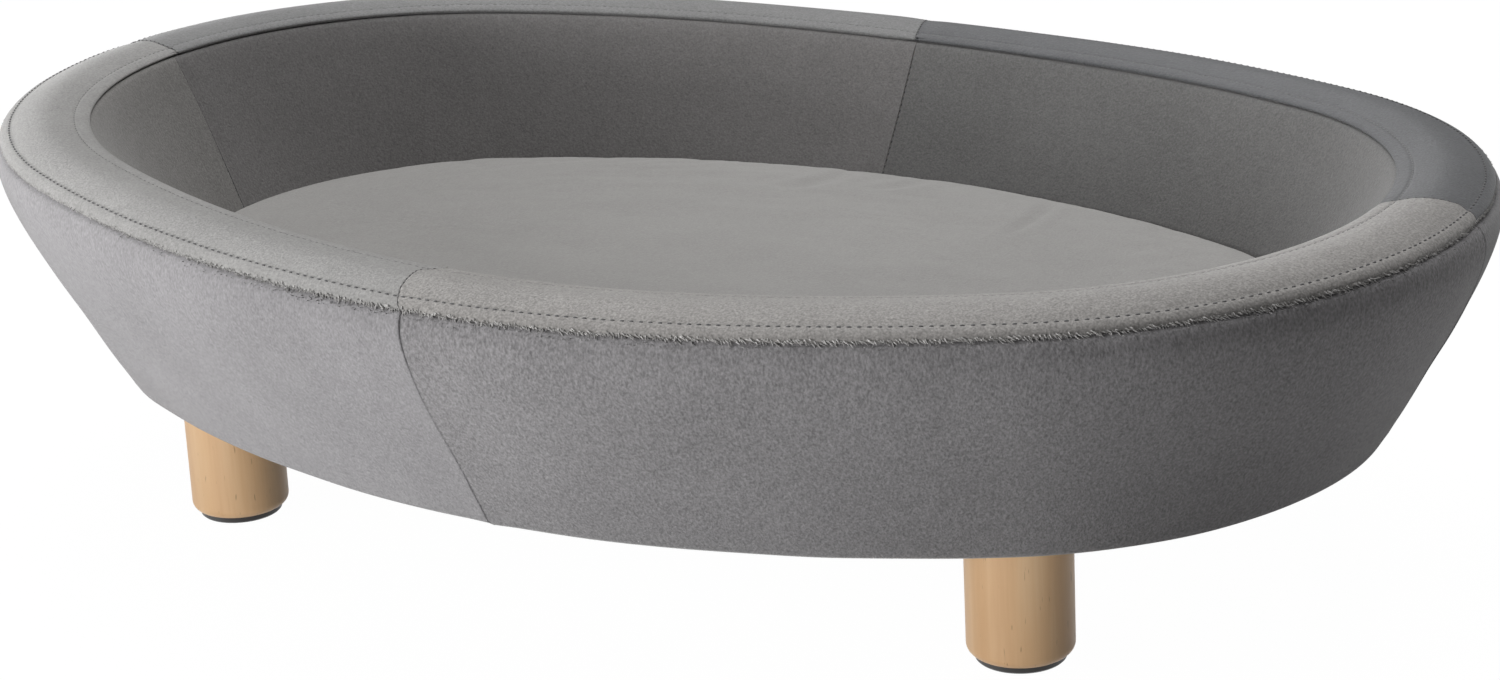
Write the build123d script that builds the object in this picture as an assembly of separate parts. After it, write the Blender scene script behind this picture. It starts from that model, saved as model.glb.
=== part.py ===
from build123d import *
import math
import os

# A padded dog sofa bed: a leaning oval wall around a cushion, on four turned legs.
# Millimetres. Z is up, X is the long way, and the front is at -Y.
# Every wall layer keeps the same distance from the rim outline all the way round,
# so a layer is one upright section carried round the four arcs of that outline.
# A section is drawn with u and z: u is how far a point stands out from the rim
# outline, so it is negative inside it, and z is its height above the floor.

# Outline of the rim seen from above
rim_length = 800.0
rim_width = 556.0
side_bow = 38.0

# Upright sizes of the body
glide_thickness = 3.0
leg_length = 67.0
board_thickness = 12.0
body_height = 120.0
rim_band = 56.0
rim_crown = 7.0

# The outside of the wall: upright under the rim, then leaning in to its foot
foot_inset = 54.0
wall_bend_drop = 18.0
wall_bend_radius = 45.0

# The inside of the wall: a shoulder under the rim, then a slope to the deck
shoulder_inset = 10.0
shoulder_drop = 12.0
well_slope_inset = 46.5
shoulder_radius = 40.0

# Layers of the wall, from the fabric inwards
velvet = 1.5
layer_gap = 0.3
outer_padding = 8.0
inner_padding = 12.0
skin_board = 3.0

# Top ring and wall ribs
ring_thickness = 12.0
rim_padding = 10.5
rib_thickness = 12.0
tenon_inset = 6.0
tenon_gap = 0.1
end_rib_angle = 38.0
side_rib_angle = 18.0

# Fabric turned in under the board and on the deck
under_hem = 22.0
deck_hem = 20.0
dust_cloth = 0.8
dust_cloth_inset = 10.0

# Legs and what holds them
leg_diameter = 50.0
leg_from_end = 175.0
leg_from_side = 156.0
leg_edge_radius = 5.0
leg_top_chamfer = 1.0
leg_hole_gap = 1.5
glide_diameter = 42.0
glide_peg_diameter = 8.0
glide_peg_length = 10.0
glide_edge = 0.8
bolt_diameter = 8.0
bolt_in_leg = 36.0
bolt_below_top = 1.0
thread_gap = 0.05
nut_flange_diameter = 22.0
nut_flange_thickness = 1.5
nut_barrel_diameter = 10.5
nut_barrel_length = 9.0
nut_seat_gap = 0.1

# Staples that hold the turned fabric and the dust cloth
staple_width = 10.0
staple_wire = 1.0
staple_leg = 6.0
staple_from_foot = 18.5
staples_a_quarter = 5

# The loose cushion
cushion_side_gap = 1.5
cushion_edge_height = 35.0
cushion_crown = 7.0
cushion_top_radius = 11.0
cushion_base_radius = 5.0
cushion_side_draw = 1.2
cushion_core_radius = 40.0
cushion_seam_height = 25.0

# The zip in the back of the cushion band
zip_length = 380.0
zip_window = 12.0
zip_tape_thickness = 0.8
zip_tape_width = 6.0
zip_chain_gap = 1.4
zip_tooth_height = 1.3
zip_tooth_depth = 2.4
zip_tooth_pitch = 10.0
zip_tooth_share = 0.55
zip_bead = 0.6
slider_plate = 1.4
slider_height = 9.0
slider_length = 14.0
slider_bridge = 0.7
slider_clear = 0.4
zip_groove_height = 19.0

# How far a cutting shape runs past what it cuts
overrun = 5.0

# Heights that follow from the sizes above
board_bottom = glide_thickness + leg_length
board_top = board_bottom + board_thickness
seam_height = board_bottom + body_height
hem_bottom = board_bottom - layer_gap - velvet
dust_top = hem_bottom - layer_gap
dust_bottom = dust_top - dust_cloth
deck_bottom = board_top + layer_gap
deck_top = deck_bottom + velvet
ring_top = seam_height + rim_crown - velvet - layer_gap - rim_padding - layer_gap
ring_bottom = ring_top - ring_thickness
cushion_bottom = deck_top + layer_gap
cushion_edge_top = cushion_bottom + cushion_edge_height
cushion_top = cushion_edge_top + cushion_crown

# How deep each layer's faces lie behind the fabric
padding_depth = velvet + layer_gap
outer_skin_depth = padding_depth + outer_padding + layer_gap
outer_rib_depth = outer_skin_depth + skin_board + layer_gap
inner_skin_depth = padding_depth + inner_padding + layer_gap
inner_rib_depth = inner_skin_depth + skin_board + layer_gap

# The rim outline is four arcs: two round the ends and two along the sides, which bow
# out further than the ends are wide
half_length = rim_length / 2
half_width = rim_width / 2
rim_end_radius = half_width - side_bow
end_centre = half_length - rim_end_radius
side_radius = (end_centre**2 + half_width**2 - rim_end_radius**2) / (2 * side_bow)
side_centre = side_radius - half_width
join_angle = math.degrees(math.atan2(side_centre, end_centre))

# Each arc: centre x and y, radius, and the directions where it starts and stops
outline_arcs = [
    (end_centre, 0, rim_end_radius, -join_angle, join_angle),
    (0, -side_centre, side_radius, join_angle, 180 - join_angle),
    (-end_centre, 0, rim_end_radius, 180 - join_angle, 180 + join_angle),
    (0, side_centre, side_radius, 180 + join_angle, 360 - join_angle),
    (end_centre, 0, rim_end_radius, 360 - join_angle, 360 + join_angle),
]

# The quarter of the bed that each cover panel dresses, as two directions
quarters = {
    "back_right": (0, 90),
    "back_left": (90, 180),
    "front_left": (180, 270),
    "front_right": (270, 360),
}

# Ribs stand at these directions, clear of the leg bolts
rib_angles = [
    0,
    end_rib_angle,
    90 - side_rib_angle,
    90,
    90 + side_rib_angle,
    180 - end_rib_angle,
    180,
    180 + end_rib_angle,
    270 - side_rib_angle,
    270,
    270 + side_rib_angle,
    360 - end_rib_angle,
]


def arc_at(direction):
    """The arc of the outline that faces this direction."""
    for arc in outline_arcs:
        if arc[3] <= direction <= arc[4]:
            return arc
    raise ValueError("no arc faces this direction")


def upright(arc, direction):
    """The upright plane through an arc's centre, with its x axis pointing outwards."""
    turn = math.radians(direction)
    outwards = (math.cos(turn), math.sin(turn), 0)
    across = (math.sin(turn), -math.cos(turn), 0)
    return Plane(origin=(arc[0], arc[1], 0), x_dir=outwards, z_dir=across)


def carried(section, start, stop):
    """Carry an upright section round the outline from one direction to another."""
    pieces = []
    for arc in outline_arcs:
        first = max(start, arc[3])
        last = min(stop, arc[4])
        if last > first:
            face = upright(arc, first) * (Pos(arc[2], 0) * section)
            axis = Axis((arc[0], arc[1], 0), (0, 0, 1))
            pieces.append(revolve(face, axis=axis, revolution_arc=last - first))
    whole = pieces[0]
    for piece in pieces[1:]:
        whole = whole + piece
    return whole


def ring(section):
    """Carry an upright section all the way round."""
    return carried(section, 0, 360)


def standing(section, direction, thickness):
    """A flat piece of the given thickness, cut to an upright section."""
    arc = arc_at(direction)
    face = upright(arc, direction) * (Pos(arc[2], 0) * section)
    return extrude(face, amount=thickness / 2, both=True)


def outline(inset, height):
    """The rim outline drawn in by an inset, as a closed wire at a height."""
    edges = []
    for x, y, radius, first, last in outline_arcs[:4]:
        edges.append(Pos(x, y, height) * CenterArc((0, 0), radius - inset, first, last - first))
    return Wire(edges)


def plate(inset, low, high):
    """A flat piece filling the outline drawn in by an inset."""
    return extrude(make_face(outline(inset, low)), amount=high - low)


def box_section(u_low, u_high, z_low, z_high):
    """A rectangle of a section, given by its limits."""
    middle = Pos((u_low + u_high) / 2, (z_low + z_high) / 2)
    return middle * Rectangle(u_high - u_low, z_high - z_low)


def bent_line(first, corner, last, radius, depth):
    """A line with one rounded bend, moved by depth to its left-hand side."""
    way_in = (corner - first).normalized()
    way_out = (last - corner).normalized()
    side_in = Vector(-way_in.Y, way_in.X)
    side_out = Vector(-way_out.Y, way_out.X)
    moved = corner + (side_in + side_out) * (depth / (1 + side_in.dot(side_out)))
    start = moved - way_in * ((corner - first).length + overrun)
    stop = moved + way_out * ((last - corner).length + overrun)
    return FilletPolyline(start, moved, stop, radius=radius - depth)


def outer_line(depth):
    """The outside of the wall, from its foot up to the rim seam."""
    foot = Vector(-foot_inset, hem_bottom)
    bend = Vector(0, seam_height - wall_bend_drop)
    seam = Vector(0, seam_height)
    return bent_line(foot, bend, seam, wall_bend_radius, depth)


def inner_line(depth):
    """The inside of the wall, from the rim seam down to the deck."""
    seam = Vector(-rim_band, seam_height)
    shoulder = Vector(-rim_band - shoulder_inset, seam_height - shoulder_drop)
    foot = Vector(shoulder.X - well_slope_inset, board_top)
    return bent_line(seam, shoulder, foot, shoulder_radius, depth)


def between(line_a, line_b, low, high):
    """The section between two lines that run the same way, within two heights."""
    strip = make_face([line_a, Line(line_a @ 1, line_b @ 1), line_b, Line(line_b @ 0, line_a @ 0)])
    return strip & box_section(-rim_width, rim_width, low, high)


# The slope of the well's wall, for the straight layers behind its padding
slope_drop = body_height - shoulder_drop - board_thickness
slope_angle = math.degrees(math.atan2(well_slope_inset, slope_drop))
well_foot = rim_band + shoulder_inset + well_slope_inset


def slope_u(height, depth):
    """Where the well's straight slope stands at a height, moved back by depth."""
    rise = height - board_top
    lean = math.tan(math.radians(slope_angle))
    return -well_foot + rise * lean + depth / math.cos(math.radians(slope_angle))


def crown_line(drop):
    """The rim's crowned top, moved down by drop."""
    return ThreePointArc(
        (0, seam_height - drop),
        (-rim_band / 2, seam_height + rim_crown - drop),
        (-rim_band, seam_height - drop),
    )


def outer_panel(start, stop):
    """Velvet panel of the outer wall, turned in under the board."""
    wall = between(outer_line(0), outer_line(velvet), hem_bottom, seam_height - velvet - layer_gap)
    hem = box_section(-foot_inset - under_hem, -foot_inset, hem_bottom, hem_bottom + velvet)
    return carried(wall + hem, start, stop)


def inner_panel(start, stop):
    """Velvet panel of the well's wall, turned in on the deck."""
    wall = between(inner_line(0), inner_line(velvet), deck_bottom, seam_height - velvet - layer_gap)
    hem = box_section(-well_foot - deck_hem, slope_u(deck_top, velvet / 2), deck_bottom, deck_top)
    return carried(wall + hem, start, stop)


def rim_panel(start, stop):
    """Velvet panel of the rim's crowned top."""
    top = crown_line(0)
    low = crown_line(velvet)
    section = make_face([top, Line(top @ 1, low @ 1), low, Line(low @ 0, top @ 0)])
    return carried(section, start, stop)


def outer_padding_ring():
    face = outer_line(padding_depth)
    back = outer_line(padding_depth + outer_padding)
    return ring(between(face, back, board_bottom, ring_top))


def outer_skin_ring():
    """Thin board bent round the outside of the ribs, the floor board and the top ring."""
    section = between(
        outer_line(outer_skin_depth),
        outer_line(outer_skin_depth + skin_board),
        board_bottom,
        ring_top,
    )
    return ring(section)


def inner_padding_ring():
    """Padding of the well's wall, thicker at the shoulder, on the straight inner skin."""
    face = inner_line(padding_depth)
    back_depth = padding_depth + inner_padding
    back = Line(
        (slope_u(ring_top + overrun, back_depth), ring_top + overrun),
        (slope_u(deck_top - overrun, back_depth), deck_top - overrun),
    )
    return ring(between(face, back, deck_bottom, ring_top))


def inner_skin_ring():
    """Thin board bent round the inside of the ribs, between the floor board and the ring."""
    low = board_top
    high = ring_bottom
    section = make_face(
        Polyline(
            (slope_u(low, inner_skin_depth), low),
            (slope_u(high, inner_skin_depth), high),
            (slope_u(high, inner_skin_depth + skin_board), high),
            (slope_u(low, inner_skin_depth + skin_board), low),
            close=True,
        )
    )
    return ring(section)


def rim_padding_ring():
    """Padding on the top ring, under the rim panels."""
    top = crown_line(padding_depth)
    base = Line(top @ 1, top @ 0)
    crown = make_face([top, base])
    low = ring_top + layer_gap
    body = box_section(-rim_band + padding_depth, -padding_depth, low, seam_height + rim_crown)
    under = box_section(-rim_band, 0, low, seam_height - padding_depth)
    return ring((crown + under) & body)


def rib_section():
    """A wall rib between the two skins, with a tenon at each end."""
    outside = outer_line(outer_rib_depth)
    inside = Line(
        (slope_u(ring_top, inner_rib_depth), ring_top),
        (slope_u(board_bottom, inner_rib_depth), board_bottom),
    )
    blank = make_face([outside, Line(outside @ 1, inside @ 0), inside, Line(inside @ 1, outside @ 0)])
    body = blank & box_section(-rim_width, 0, board_top, ring_bottom)
    return body + tenon_section(board_bottom, board_top) + tenon_section(ring_bottom, ring_top)


def outer_u(height, depth):
    """Where the outside of the wall stands at a height, moved in by depth."""
    lean = math.atan2(foot_inset, seam_height - wall_bend_drop - hem_bottom)
    bend_top = seam_height - wall_bend_drop + wall_bend_radius * math.tan(lean / 2)
    below = bend_top - height
    radius = wall_bend_radius - depth
    if below <= 0:
        return -depth
    if below < radius * math.sin(lean):
        return -wall_bend_radius + math.sqrt(radius**2 - below**2)
    return -foot_inset + (height - hem_bottom) * math.tan(lean) - depth / math.cos(lean)


def tenon_section(low, high, gap=0):
    """A tenon between two heights, set in from the rib's narrower end."""
    seat = board_top if low == board_bottom else ring_bottom
    outside = outer_u(seat, outer_rib_depth) - tenon_inset
    inside = slope_u(seat, inner_rib_depth) + tenon_inset
    return box_section(inside - gap, outside + gap, low, high)


def tenons(low, high, gap=0):
    """All the tenons at one level, grown by a gap to cut their slots."""
    section = tenon_section(low, high, gap)
    return [standing(section, angle, rib_thickness + 2 * gap) for angle in rib_angles]


def at_legs(piece):
    """Put a piece at each of the four legs."""
    places = GridLocations(rim_length - 2 * leg_from_end, rim_width - 2 * leg_from_side, 2, 2)
    return [place * piece for place in places]


def upright_cylinder(diameter, low, high):
    """A cylinder about the Z axis between two heights."""
    return extrude(Pos(0, 0, low) * Circle(diameter / 2), amount=high - low)


def floor_board():
    """Plywood floor with a bevelled edge, rib slots and bores for the leg bolts."""
    edge = between(outer_line(outer_rib_depth), outer_line(wall_bend_radius / 2), board_bottom, board_top)
    core_inset = foot_inset + outer_rib_depth + velvet
    board = ring(edge) + plate(core_inset, board_bottom, board_top)
    slots = tenons(board_bottom, board_top, tenon_gap)
    seat_bottom = board_top - nut_flange_thickness
    seat = upright_cylinder(nut_flange_diameter + 2 * nut_seat_gap, seat_bottom, board_top)
    bore = upright_cylinder(nut_barrel_diameter + 2 * nut_seat_gap, board_bottom, board_top)
    return board - slots - at_legs(seat + bore)


def top_ring():
    """Plywood ring that ties the ribs together under the rim."""
    outside = outer_u(ring_bottom, outer_rib_depth)
    inside = slope_u(ring_top, padding_depth + inner_padding) + layer_gap
    band = ring(box_section(inside, outside, ring_bottom, ring_top))
    return band - tenons(ring_bottom, ring_top, tenon_gap)


def deck_cloth():
    """Felt on the floor board inside the turned-in hem of the well panels."""
    return plate(well_foot + deck_hem + layer_gap, deck_bottom, deck_top)


def dust_cover():
    """Thin cloth under the board, with a hole for each leg."""
    cloth = plate(foot_inset + dust_cloth_inset, dust_bottom, dust_top)
    hole = upright_cylinder(leg_diameter + 2 * leg_hole_gap, dust_bottom, dust_top)
    return cloth - at_legs(hole)


def leg():
    """Turned wooden leg, bored for its bolt and its glide."""
    body = upright_cylinder(leg_diameter, glide_thickness, board_bottom)
    body = fillet(body.edges().group_by(Axis.Z)[0], leg_edge_radius)
    body = chamfer(body.edges().group_by(Axis.Z)[-1], leg_top_chamfer)
    bolt_bore = upright_cylinder(bolt_diameter + 2 * thread_gap, board_bottom - bolt_in_leg, board_bottom)
    peg_top = glide_thickness + glide_peg_length
    peg_bore = upright_cylinder(glide_peg_diameter + 2 * thread_gap, glide_thickness, peg_top)
    return body - bolt_bore - peg_bore


def glide():
    """Dark glide disc with a peg that presses into the leg."""
    disc = upright_cylinder(glide_diameter, 0, glide_thickness)
    disc = chamfer(disc.edges().group_by(Axis.Z)[0], glide_edge)
    peg_top = glide_thickness + glide_peg_length - thread_gap
    return disc + upright_cylinder(glide_peg_diameter, glide_thickness, peg_top)


def leg_bolt():
    """Hanger bolt: one end in the leg, the other in the nut."""
    bolt = upright_cylinder(bolt_diameter, board_bottom - bolt_in_leg, board_top - bolt_below_top)
    return chamfer(bolt.edges().group_by(Axis.Z)[-1], bolt_below_top)


def leg_nut():
    """Flanged nut let into the top of the floor board."""
    flange = upright_cylinder(nut_flange_diameter, board_top - nut_flange_thickness, board_top)
    barrel_bottom = board_top - nut_flange_thickness - nut_barrel_length
    barrel = upright_cylinder(nut_barrel_diameter, barrel_bottom, board_top)
    bore = upright_cylinder(bolt_diameter + 2 * thread_gap, barrel_bottom, board_top)
    return flange + barrel - bore


def staple():
    """One staple, its crown along Y at the outline and its legs pointing up."""
    crown_low = dust_bottom - staple_wire
    crown = Box(staple_wire, staple_width, staple_wire, align=(Align.CENTER, Align.CENTER, Align.MIN))
    reach = board_bottom + staple_leg - dust_bottom
    prong = Box(staple_wire, staple_wire, reach, align=(Align.CENTER, Align.CENTER, Align.MIN))
    offset_y = (staple_width - staple_wire) / 2
    prongs = [Pos(0, side * offset_y, dust_bottom) * prong for side in (-1, 1)]
    return Pos(0, 0, crown_low) * crown + prongs


def staples():
    """Staples through the dust cloth and the turned fabric into the board."""
    inset = foot_inset + staple_from_foot
    group = []
    for start, stop in quarters.values():
        step = (stop - start) / staples_a_quarter
        for count in range(staples_a_quarter):
            direction = start + (count + 0.5) * step
            x, y, radius = arc_at(direction)[:3]
            place = Pos(x, y) * Rot(0, 0, direction) * Pos(radius - inset, 0)
            group.append(place * staple())
    return group


# The cushion's side leans with the well, so its zip parts are drawn in a leaning frame
seam_z = cushion_bottom + cushion_seam_height
side_low_u = slope_u(cushion_bottom, -cushion_side_gap)
core_inset = rim_end_radius - cushion_core_radius
zip_z = cushion_bottom + (cushion_seam_height + cushion_base_radius) / 2
zip_u = slope_u(zip_z, -cushion_side_gap) - cushion_side_draw
zip_place = Pos(zip_u, zip_z) * Rot(0, 0, -slope_angle)
zip_radius = side_radius + zip_u
zip_half_angle = math.degrees(zip_length / 2 / zip_radius)
tape_face = velvet + layer_gap
tape_back = tape_face + zip_tape_thickness
chain_middle = (tape_face + tape_back) / 2
chain_face = chain_middle - zip_tooth_depth / 2
chain_back = chain_middle + zip_tooth_depth / 2
groove_depth = chain_back + slider_clear + slider_plate + slider_clear


def cushion_section(depth):
    """The cushion's section, in by depth: drawn-in side, rounded top edge and crown."""
    low = cushion_bottom + depth
    edge = cushion_edge_top - depth
    top = cushion_top - depth
    side_gap = -cushion_side_gap - depth
    side_foot = (slope_u(low, side_gap), low)
    side_top = (slope_u(edge, side_gap), edge)
    side_middle = ((side_foot[0] + side_top[0]) / 2 - cushion_side_draw, (low + edge) / 2)
    crown_pull = ((side_top[0] - core_inset) / 2, top)
    section = make_face(
        [
            Line((-core_inset, low), (-core_inset, top)),
            Bezier((-core_inset, top), crown_pull, side_top),
            ThreePointArc(side_top, side_middle, side_foot),
            Line(side_foot, (-core_inset, low)),
        ]
    )
    top_corner = section.vertices().sort_by_distance(side_top)[0]
    section = fillet(top_corner, cushion_top_radius - depth)
    low_corner = section.vertices().sort_by_distance(side_foot)[0]
    return fillet(low_corner, cushion_base_radius - depth)


def in_zip(depth_low, depth_high, low, high):
    """A rectangle of the zip's leaning frame, by depth behind the band and height along it."""
    return zip_place * box_section(-depth_high, -depth_low, low, high)


def along_zip(section, spare=0):
    """Carry a section along the zip, with some spare angle at each end."""
    return carried(section, 90 - zip_half_angle - spare, 90 + zip_half_angle + spare)


def cushion_filling():
    """Foam block of the cushion, with a groove behind the zip."""
    low = cushion_bottom + padding_depth
    high = cushion_top - padding_depth
    block = ring(cushion_section(padding_depth)) + plate(core_inset, low, high)
    groove = in_zip(-overrun, groove_depth, -zip_groove_height / 2, zip_groove_height / 2)
    spare = math.degrees(slider_length / zip_radius)
    return block - along_zip(groove, spare)


def cushion_shell():
    """The cushion cover's section, one fabric thick."""
    return cushion_section(0) - cushion_section(velvet)


def cushion_top_panel():
    high_part = cushion_shell() & box_section(-rim_width, 0, seam_z + layer_gap / 2, cushion_top + overrun)
    return ring(high_part) + plate(core_inset, cushion_top - velvet, cushion_top)


def cushion_base_panel():
    low_part = cushion_shell() & box_section(-rim_width, side_low_u - velvet, 0, cushion_bottom + velvet)
    return ring(low_part) + plate(core_inset, cushion_bottom, cushion_bottom + velvet)


def cushion_band():
    """Side strip of the cushion cover, with an opening for the zip."""
    shell = cushion_shell()
    low_part = shell & box_section(-rim_width, side_low_u - velvet, 0, cushion_bottom + velvet)
    high_part = shell & box_section(-rim_width, 0, seam_z - layer_gap / 2, cushion_top + overrun)
    strip = ring(shell - low_part - high_part)
    window = in_zip(-overrun, overrun, -zip_window / 2, zip_window / 2)
    return strip - along_zip(window)


def zip_tape():
    """The two woven tapes of the zip, behind the edges of its opening."""
    low = zip_chain_gap / 2 + zip_tooth_height + zip_bead + slider_clear / 2
    high = low + zip_tape_width
    upper = along_zip(in_zip(tape_face, tape_back, low, high))
    lower = along_zip(in_zip(tape_face, tape_back, -high, -low))
    return [upper, lower]


def zip_chain():
    """Two rows of teeth, each on a bead along the tape's edge."""
    near = zip_chain_gap / 2
    far = near + zip_tooth_height
    pitch = math.degrees(zip_tooth_pitch / zip_radius)
    count = int(2 * zip_half_angle / pitch)
    rows = []
    for side in (1, -1):
        bead_low, bead_high = sorted((side * far, side * (far + zip_bead)))
        tooth_low, tooth_high = sorted((side * near, side * (far + zip_bead / 2)))
        row = along_zip(in_zip(tape_face, tape_back, bead_low, bead_high))
        tooth = in_zip(chain_face, chain_back, tooth_low, tooth_high)
        first = 90 - zip_half_angle + (0 if side > 0 else pitch / 2)
        teeth = []
        for number in range(count - 1):
            start = first + number * pitch
            teeth.append(carried(tooth, start, start + pitch * zip_tooth_share))
        rows.append(row + teeth)
    return rows


def zip_slider():
    """Slider with a plate each side of the chain and a bridge between the rows."""
    half = slider_height / 2
    face_start = chain_face - slider_clear - slider_plate
    face = in_zip(face_start, face_start + slider_plate, -half, half)
    back_start = chain_back + slider_clear
    back = in_zip(back_start, back_start + slider_plate, -half, half)
    bridge = in_zip(face_start, back_start + slider_plate, -slider_bridge / 2, slider_bridge / 2)
    length = math.degrees(slider_length / zip_radius)
    start = 90 + zip_half_angle - length
    section = face + back + bridge
    return carried(section, start, start + length)


def build():
    """Every sub-part by its node's name."""
    nodes = {
        "floor_board": floor_board(),
        "top_ring": top_ring(),
        "outer_skin": outer_skin_ring(),
        "inner_skin": inner_skin_ring(),
        "outer_padding": outer_padding_ring(),
        "inner_padding": inner_padding_ring(),
        "rim_padding": rim_padding_ring(),
        "deck_cloth": deck_cloth(),
        "dust_cover": dust_cover(),
        "staples": staples(),
        "leg_nuts": at_legs(leg_nut()),
        "leg_bolts": at_legs(leg_bolt()),
        "cushion_filling": cushion_filling(),
        "cushion_top_panel": cushion_top_panel(),
        "cushion_base_panel": cushion_base_panel(),
        "cushion_band": cushion_band(),
        "zip_tape": zip_tape(),
        "zip_chain": zip_chain(),
        "zip_slider": zip_slider(),
    }
    nodes["dust_cover"] = nodes["dust_cover"] - nodes["staples"]
    nodes["floor_board"] = nodes["floor_board"] - nodes["staples"]
    for number, angle in enumerate(rib_angles, start=1):
        nodes[f"wall_rib_{number}"] = standing(rib_section(), angle, rib_thickness)
    for quarter, (start, stop) in quarters.items():
        nodes[f"outer_panel_{quarter}"] = outer_panel(start, stop) - nodes["staples"]
        nodes[f"rim_panel_{quarter}"] = rim_panel(start, stop)
        nodes[f"inner_panel_{quarter}"] = inner_panel(start, stop)
    corner_names = ("front_left", "back_left", "front_right", "back_right")
    for name, one_leg, one_glide in zip(corner_names, at_legs(leg()), at_legs(glide())):
        nodes[f"leg_{name}"] = one_leg
        nodes[f"glide_{name}"] = one_glide
    return nodes


def solids_of(shape):
    """One compound of plain solids, whatever the operations returned."""
    shapes = shape if isinstance(shape, list) else [shape]
    solids = [solid for item in shapes for solid in item.solids()]
    return solids[0] if len(solids) == 1 else Compound(solids)


os.makedirs("parts", exist_ok=True)
for name, shape in build().items():
    export_step(solids_of(shape), f"parts/{name}.step")
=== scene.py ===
import math

import bmesh
import bpy
import numpy as np
from mathutils import Matrix, Vector, geometry, noise


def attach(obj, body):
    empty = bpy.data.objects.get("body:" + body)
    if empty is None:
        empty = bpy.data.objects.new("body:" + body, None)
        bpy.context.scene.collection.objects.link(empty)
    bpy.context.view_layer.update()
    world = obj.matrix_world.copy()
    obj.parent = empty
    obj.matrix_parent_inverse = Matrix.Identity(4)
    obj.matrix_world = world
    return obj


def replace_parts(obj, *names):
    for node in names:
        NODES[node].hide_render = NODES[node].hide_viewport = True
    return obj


# The dressed dog sofa bed: velvet cover panels, sewn rim, loose cushion and wooden legs.
# Metres. Every cover is drawn as a section of u and z and carried round the rim outline:
# u is how far a point stands out from the outline, and z is its height above the floor.
# Places along the outline run anticlockwise, seen from above, from the +X end.

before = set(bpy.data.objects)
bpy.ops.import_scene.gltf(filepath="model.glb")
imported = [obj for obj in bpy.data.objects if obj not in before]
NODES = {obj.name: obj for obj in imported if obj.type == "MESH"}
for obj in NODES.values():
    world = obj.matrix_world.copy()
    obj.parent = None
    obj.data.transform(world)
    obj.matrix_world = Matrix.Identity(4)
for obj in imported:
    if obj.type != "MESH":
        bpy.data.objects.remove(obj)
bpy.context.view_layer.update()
SCENE = bpy.context.scene

# Outline of the rim, as in the part
RIM_LENGTH = 0.800
RIM_WIDTH = 0.556
SIDE_BOW = 0.038
SEAM_HEIGHT = 0.190
FOOT_HEIGHT = 0.0682
VELVET = 0.0015

# The quarter that each cover panel dresses, as two directions in degrees
QUARTERS = {
    "back_right": (0, 90),
    "back_left": (90, 180),
    "front_left": (180, 270),
    "front_right": (270, 360),
}


def tenths(*pairs):
    """Pairs of u and z that are written in tenths of a millimetre."""
    return np.array(pairs) / 10000


# Sections, from one sewn edge to the other
OUTER_SECTION = tenths(
    (-150, 1866), (-112, 1866), (-86, 1866), (-71, 1861), (-60, 1846), (-52, 1815), (-50, 1760),
    (-77, 1650), (-135, 1500), (-229, 1300), (-335, 1100), (-436, 900), (-518, 755), (-540, 714),
    (-559, 691), (-592, 682), (-662, 682), (-760, 682),
)
RIM_SECTION = tenths(
    (-150, 1867), (-115, 1867), (-90, 1869), (-74, 1875), (-66, 1886), (-70, 1903), (-88, 1921),
    (-110, 1931), (-119, 1928), (-129, 1934), (-170, 1951), (-235, 1964), (-305, 1968),
    (-375, 1962), (-428, 1953), (-441, 1950), (-449, 1945), (-457, 1948), (-488, 1943),
    (-510, 1937), (-524, 1928), (-521, 1920), (-502, 1916), (-470, 1915),
)
WELL_SECTION = tenths(
    (-470, 1914), (-498, 1914), (-518, 1915), (-531, 1907), (-550, 1879), (-584, 1822),
    (-629, 1738), (-680, 1645), (-742, 1530), (-820, 1385), (-893, 1250), (-965, 1115),
    (-1042, 980), (-1088, 890), (-1110, 852), (-1160, 839), (-1240, 838), (-1320, 838),
)
OUTER_STITCH_U = -0.0119
INNER_STITCH_U = -0.0449

# Foam under the covers, as closed sections
OUTER_FOAM = tenths(
    (-125, 1825), (-95, 1815), (-80, 1755), (-106, 1650), (-164, 1500), (-258, 1300),
    (-364, 1100), (-465, 900), (-548, 750), (-580, 708), (-640, 706), (-580, 850), (-360, 1240),
    (-200, 1560), (-140, 1720),
)
WELL_FOAM = tenths(
    (-505, 1835), (-540, 1825), (-600, 1735), (-652, 1645), (-714, 1530), (-792, 1385),
    (-865, 1250), (-937, 1115), (-1012, 985), (-1058, 890), (-1045, 855), (-990, 850),
    (-860, 1100), (-640, 1560), (-500, 1800),
)
RIM_FOAM = tenths(
    (-110, 1862), (-98, 1884), (-122, 1904), (-160, 1919), (-285, 1944), (-405, 1934),
    (-475, 1919), (-492, 1895), (-460, 1850), (-280, 1846), (-120, 1846),
)

# How the sewn cover departs from the true outline, as waves round the bed: for one turn and
# for two turns, the cosine's and the sine's size, at the rim and at the foot
RIM_RISES = ((-0.0067, -0.0009), (0.0047, -0.0001))
RIM_DRIFTS = ((-0.0010, 0.0010), (-0.0018, -0.0008))
FOOT_DRIFTS = ((0.0013, 0.0032), (-0.0046, -0.0019))

# How many millimetres each quarter's seam strays along the outline, from the sewn edge at the
# start of the section to the one at its end, by the seam's direction
RIM_SEAM_STRAYS = {
    0: (7, 18, 18, 10),
    90: (20, 16, 10, 4),
    180: (-18, -15, -11, -8),
    270: (6, -4, -10, -3),
}
OUTER_SEAM_STRAYS = {
    0: (7, 24, 40, 52),
    90: (4, 0, -3, -4),
    180: (-4, -2, 2, 4),
    270: (3, 5, 9, 9),
}
WELL_SEAM_STRAYS = {
    0: (10, 8, 4, 2),
    90: (4, 6, 9, 10),
    180: (-3, -3, -1, 0),
    270: (-3, -2, 2, 4),
}

# Columns along a quarter and rows across a section
PANEL_COLUMNS = 210
OUTER_ROWS = 52
RIM_ROWS = 64
WELL_ROWS = 52
FOAM_COLUMNS = 160
FOAM_ROWS = 36

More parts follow.
